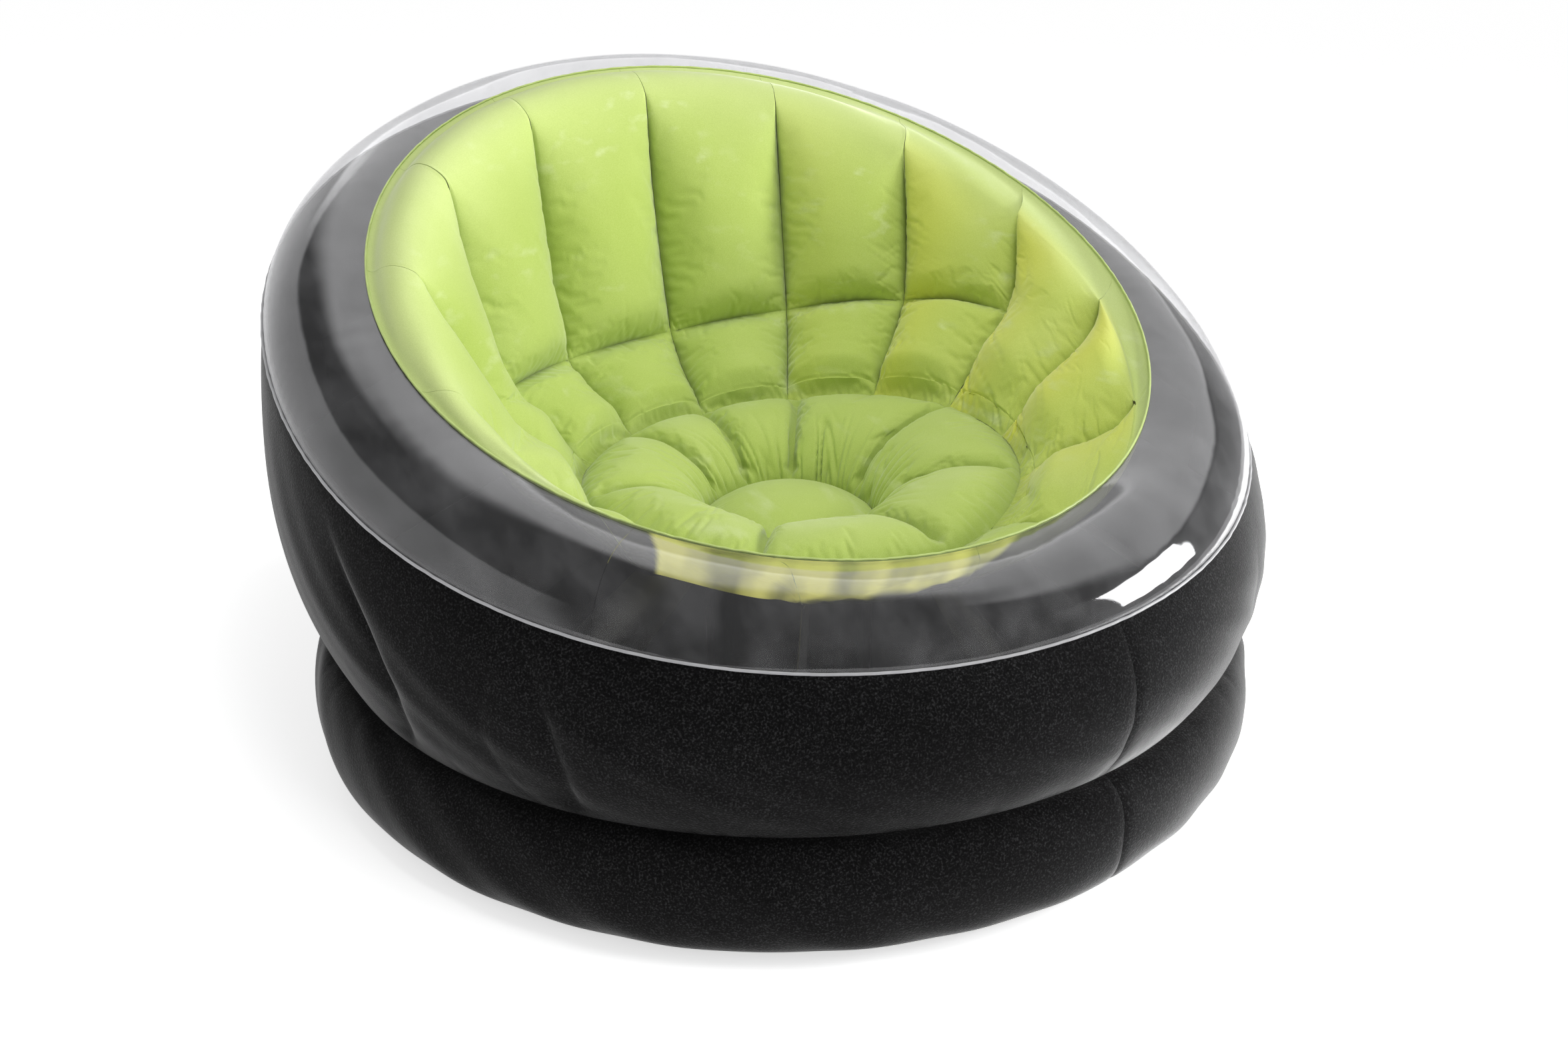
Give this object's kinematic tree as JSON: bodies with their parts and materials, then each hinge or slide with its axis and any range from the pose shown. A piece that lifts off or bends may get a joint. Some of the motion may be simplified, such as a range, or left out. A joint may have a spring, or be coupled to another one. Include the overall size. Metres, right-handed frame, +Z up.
{
  "type": "inflatable chair",
  "caption": "Round inflatable tub chair with a flocked base and walls, a clear sloping rim, a channelled bowl, a padded seat ring with a domed button, and a plug valve.",
  "frame": {"origin": "middle of the round base, on the floor", "axes": "+Z up, the sitter faces -Y, +X at the sitter's left"},
  "size_m": [1.1037, 1.1231, 0.6829],
  "materials": {
    "dark_flock": "short flock on vinyl sheet",
    "green_flock": "short flock on vinyl sheet",
    "inner_web": "plain vinyl sheet",
    "clear_film": "clear smoke-tinted vinyl",
    "clear_edge": "welded clear vinyl",
    "green_edge": "welded vinyl edge",
    "valve_plastic": "soft moulded vinyl",
    "cap_plastic": "soft moulded vinyl",
    "flap_rubber": "thin soft sheet"
  },
  "bodies": {
    "chamber": {"floor_panel": "dark_flock", "base_wall_left": "dark_flock", "base_wall_right": "dark_flock", "outer_wall_left": "dark_flock", "outer_wall_right": "dark_flock", "bowl_channel_01": "green_flock", "bowl_channel_02": "green_flock", "bowl_channel_03": "green_flock", "bowl_channel_04": "green_flock", "bowl_channel_05": "green_flock", "bowl_channel_06": "green_flock", "bowl_channel_07": "green_flock", "bowl_channel_08": "green_flock", "bowl_channel_09": "green_flock", "bowl_channel_10": "green_flock", "bowl_channel_11": "green_flock", "bowl_channel_12": "green_flock", "bowl_channel_13": "green_flock", "bowl_channel_14": "green_flock", "bowl_petal_01": "green_flock", "bowl_petal_02": "green_flock", "bowl_petal_03": "green_flock", "bowl_petal_13": "green_flock", "bowl_petal_14": "green_flock", "seat_ring": "green_flock", "seat_button": "green_flock", "waist_diaphragm": "inner_web", "channel_web_01": "inner_web", "channel_web_02": "inner_web", "channel_web_03": "inner_web", "channel_web_04": "inner_web", "channel_web_05": "inner_web", "channel_web_06": "inner_web", "channel_web_07": "inner_web", "channel_web_08": "inner_web", "channel_web_09": "inner_web", "channel_web_10": "inner_web", "channel_web_11": "inner_web", "channel_web_12": "inner_web", "channel_web_13": "inner_web", "channel_web_14": "inner_web", "seat_tie_column": "inner_web", "rim_band_left": "clear_film", "rim_band_right": "clear_film", "rim_weld_flange": "clear_edge", "bowl_edge_flange": "green_edge", "valve_collar": "valve_plastic"},
    "stopper": {"valve_stopper": "valve_plastic"},
    "cap": {"valve_cap": "cap_plastic"},
    "flap": {"valve_flap": "flap_rubber"}
  },
  "joints": [
    {"name": "stopper_hinge", "type": "hinge", "parent": "chamber", "child": "stopper", "pos_m": [0.08515, 0.54003, 0.24155], "axis": [-0.9882, 0.1513, 0.0237], "range_deg": [0, 110]},
    {"name": "cap_hinge", "type": "hinge", "parent": "stopper", "child": "cap", "pos_m": [0.0883, 0.55347, 0.28705], "axis": [0.9882, -0.1513, -0.0237], "range_deg": [0, 120]},
    {"name": "check_flap", "type": "hinge", "parent": "stopper", "child": "flap", "pos_m": [0.08602, 0.54252, 0.26203], "axis": [0.9882, -0.1513, -0.0237], "range_deg": [0, 45], "stiffness_Nm_per_rad": 0.002}
  ]
}
